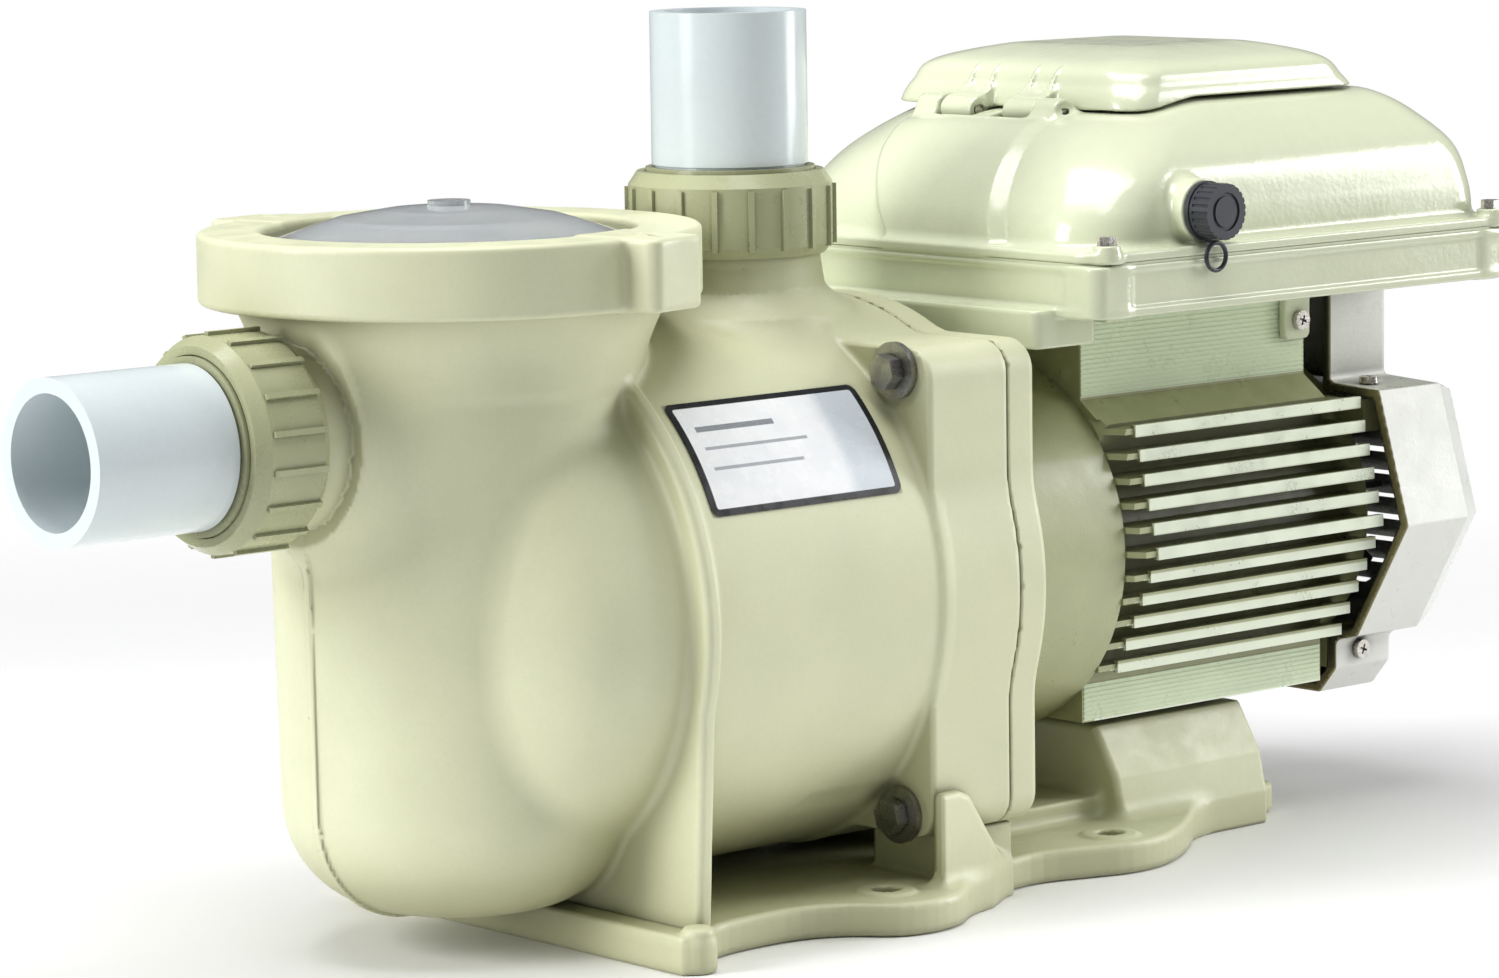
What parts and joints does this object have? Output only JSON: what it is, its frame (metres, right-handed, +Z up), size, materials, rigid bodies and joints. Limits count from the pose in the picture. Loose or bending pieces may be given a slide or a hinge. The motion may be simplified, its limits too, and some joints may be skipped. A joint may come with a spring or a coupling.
{
  "type": "pool pump",
  "caption": "Self priming pool pump with clear lidded strainer pot, pipe unions, finned motor, fan cover and a drive with a flip lid, on a moulded foot.",
  "frame": {"origin": "on the flat underside of the foot, straight below the discharge pipe axis, in the middle of the width", "axes": "+X from the suction pipe along the shaft to the motor fan, +Z up along the discharge pipe, +Y to the side with the drain plugs"},
  "size_m": [0.661, 0.2412, 0.342],
  "materials": {
    "housing_plastic": "fine grained moulded thermoplastic, warm beige",
    "union_plastic": "semi gloss moulded plastic, beige",
    "white_pvc": "extruded white pressure pipe",
    "clear_plastic": "clear moulded lid",
    "basket_plastic": "grey white moulded basket",
    "painted_motor": "beige green enamel on die cast metal",
    "painted_drive": "almond powder coat with slight orange peel",
    "fan_cover_plastic": "satin moulded plastic",
    "stainless": "stainless fasteners",
    "shaft_steel": "ground steel",
    "core_steel": "laminated electrical steel",
    "copper": "enamelled copper wire",
    "black_rubber": "moulded rubber",
    "internal_plastic": "glass filled plastic",
    "seal_ceramic": "lapped ceramic",
    "label": "printed plastic label",
    "board": "circuit board",
    "keypad": "keypad overlay",
    "display": "display window",
    "key_rubber": "light grey keys"
  },
  "bodies": {
    "pump_body": {"base_foot": "housing_plastic", "pump_housing": "housing_plastic", "seal_plate": "housing_plastic", "housing_seal": "black_rubber", "housing_bolts": "stainless", "diffuser": "internal_plastic", "seal_seat": "seal_ceramic", "suction_tailpiece": "union_plastic", "suction_union_seal": "black_rubber", "suction_pipe": "white_pvc", "discharge_tailpiece": "union_plastic", "discharge_union_seal": "black_rubber", "discharge_pipe": "white_pvc", "name_label": "label", "motor_pad": "black_rubber", "motor_front_bell": "painted_motor", "motor_frame": "painted_motor", "motor_rear_bell": "painted_motor", "stator_core": "core_steel", "stator_windings": "copper", "bearing_outer_races": "shaft_steel", "motor_bolts": "stainless", "fan_cover": "fan_cover_plastic", "fan_cover_screws": "stainless", "drive_tray": "painted_drive", "drive_gasket": "black_rubber", "drive_cover": "painted_drive", "rim_screws": "stainless", "bracket_screws": "stainless", "control_board": "board", "keypad_panel": "keypad", "display_window": "display", "hinge_pins": "stainless", "port_socket": "internal_plastic", "cap_tether": "black_rubber"},
    "rotor": {"motor_shaft": "shaft_steel", "rotor_core": "core_steel", "impeller": "internal_plastic", "impeller_screw": "stainless", "seal_ring": "black_rubber", "bearing_inner_races": "shaft_steel", "bearing_balls": "shaft_steel", "cooling_fan": "internal_plastic"},
    "clear_lid_body": {"clear_lid": "clear_plastic", "lid_seal": "black_rubber"},
    "lid_ring_body": {"lid_ring": "housing_plastic"},
    "basket_body": {"strainer_basket": "basket_plastic"},
    "suction_nut_body": {"suction_nut": "union_plastic"},
    "discharge_nut_body": {"discharge_nut": "union_plastic"},
    "control_lid_body": {"control_lid": "painted_drive"},
    "port_cap_body": {"port_cap": "black_rubber"},
    "drain_pot_body": {"drain_plug_pot": "internal_plastic"},
    "drain_volute_body": {"drain_plug_volute": "internal_plastic"},
    "button_start_stop_body": {"button_start_stop": "key_rubber"},
    "button_speed_1_body": {"button_speed_1": "key_rubber"},
    "button_speed_2_body": {"button_speed_2": "key_rubber"},
    "button_speed_3_body": {"button_speed_3": "key_rubber"},
    "button_up_body": {"button_up": "key_rubber"},
    "button_down_body": {"button_down": "key_rubber"}
  },
  "joints": [
    {"name": "shaft_spin", "type": "hinge", "parent": "pump_body", "child": "rotor", "pos_m": [0.16, 0, 0.123], "axis": [1, 0, 0], "continuous": true},
    {"name": "lid_lift", "type": "slide", "parent": "pump_body", "child": "clear_lid_body", "axis": [0, 0, 1], "range_m": [0, 0.3]},
    {"name": "lid_ring_turn", "type": "hinge", "parent": "clear_lid_body", "child": "lid_ring_body", "pos_m": [-0.138, 0, 0.25], "axis": [0, 0, -1], "range_deg": [0, 45]},
    {"name": "basket_lift", "type": "slide", "parent": "pump_body", "child": "basket_body", "axis": [0, 0, 1], "range_m": [0, 0.24]},
    {"name": "suction_nut_turn", "type": "hinge", "parent": "pump_body", "child": "suction_nut_body", "pos_m": [-0.24, 0, 0.197], "axis": [1, 0, 0], "continuous": true},
    {"name": "discharge_nut_turn", "type": "hinge", "parent": "pump_body", "child": "discharge_nut_body", "pos_m": [0, 0, 0.265], "axis": [0, 0, 1], "continuous": true},
    {"name": "control_lid_hinge", "type": "hinge", "parent": "pump_body", "child": "control_lid_body", "pos_m": [0.142, 0, 0.296], "axis": [0, -1, 0], "range_deg": [0, 100]},
    {"name": "port_cap_turn", "type": "hinge", "parent": "pump_body", "child": "port_cap_body", "pos_m": [0.148, -0.116, 0.261], "axis": [0, 1, 0], "continuous": true},
    {"name": "drain_pot_turn", "type": "hinge", "parent": "pump_body", "child": "drain_pot_body", "pos_m": [-0.126, 0.08, 0.052], "axis": [0, 1, 0], "continuous": true},
    {"name": "drain_volute_turn", "type": "hinge", "parent": "pump_body", "child": "drain_volute_body", "pos_m": [-0.06, 0.085, 0.05], "axis": [0, 1, 0], "continuous": true},
    {"name": "button_start_stop_press", "type": "slide", "parent": "pump_body", "child": "button_start_stop_body", "axis": [0, 0, -1], "range_m": [0, 0.001], "stiffness_N_per_m": 300},
    {"name": "button_speed_1_press", "type": "slide", "parent": "pump_body", "child": "button_speed_1_body", "axis": [0, 0, -1], "range_m": [0, 0.001], "stiffness_N_per_m": 300},
    {"name": "button_speed_2_press", "type": "slide", "parent": "pump_body", "child": "button_speed_2_body", "axis": [0, 0, -1], "range_m": [0, 0.001], "stiffness_N_per_m": 300},
    {"name": "button_speed_3_press", "type": "slide", "parent": "pump_body", "child": "button_speed_3_body", "axis": [0, 0, -1], "range_m": [0, 0.001], "stiffness_N_per_m": 300},
    {"name": "button_up_press", "type": "slide", "parent": "pump_body", "child": "button_up_body", "axis": [0, 0, -1], "range_m": [0, 0.001], "stiffness_N_per_m": 300},
    {"name": "button_down_press", "type": "slide", "parent": "pump_body", "child": "button_down_body", "axis": [0, 0, -1], "range_m": [0, 0.001], "stiffness_N_per_m": 300}
  ],
  "couplings": [
    {"joint": "basket_lift", "follows": "lid_lift", "ratio": 0.8}
  ]
}
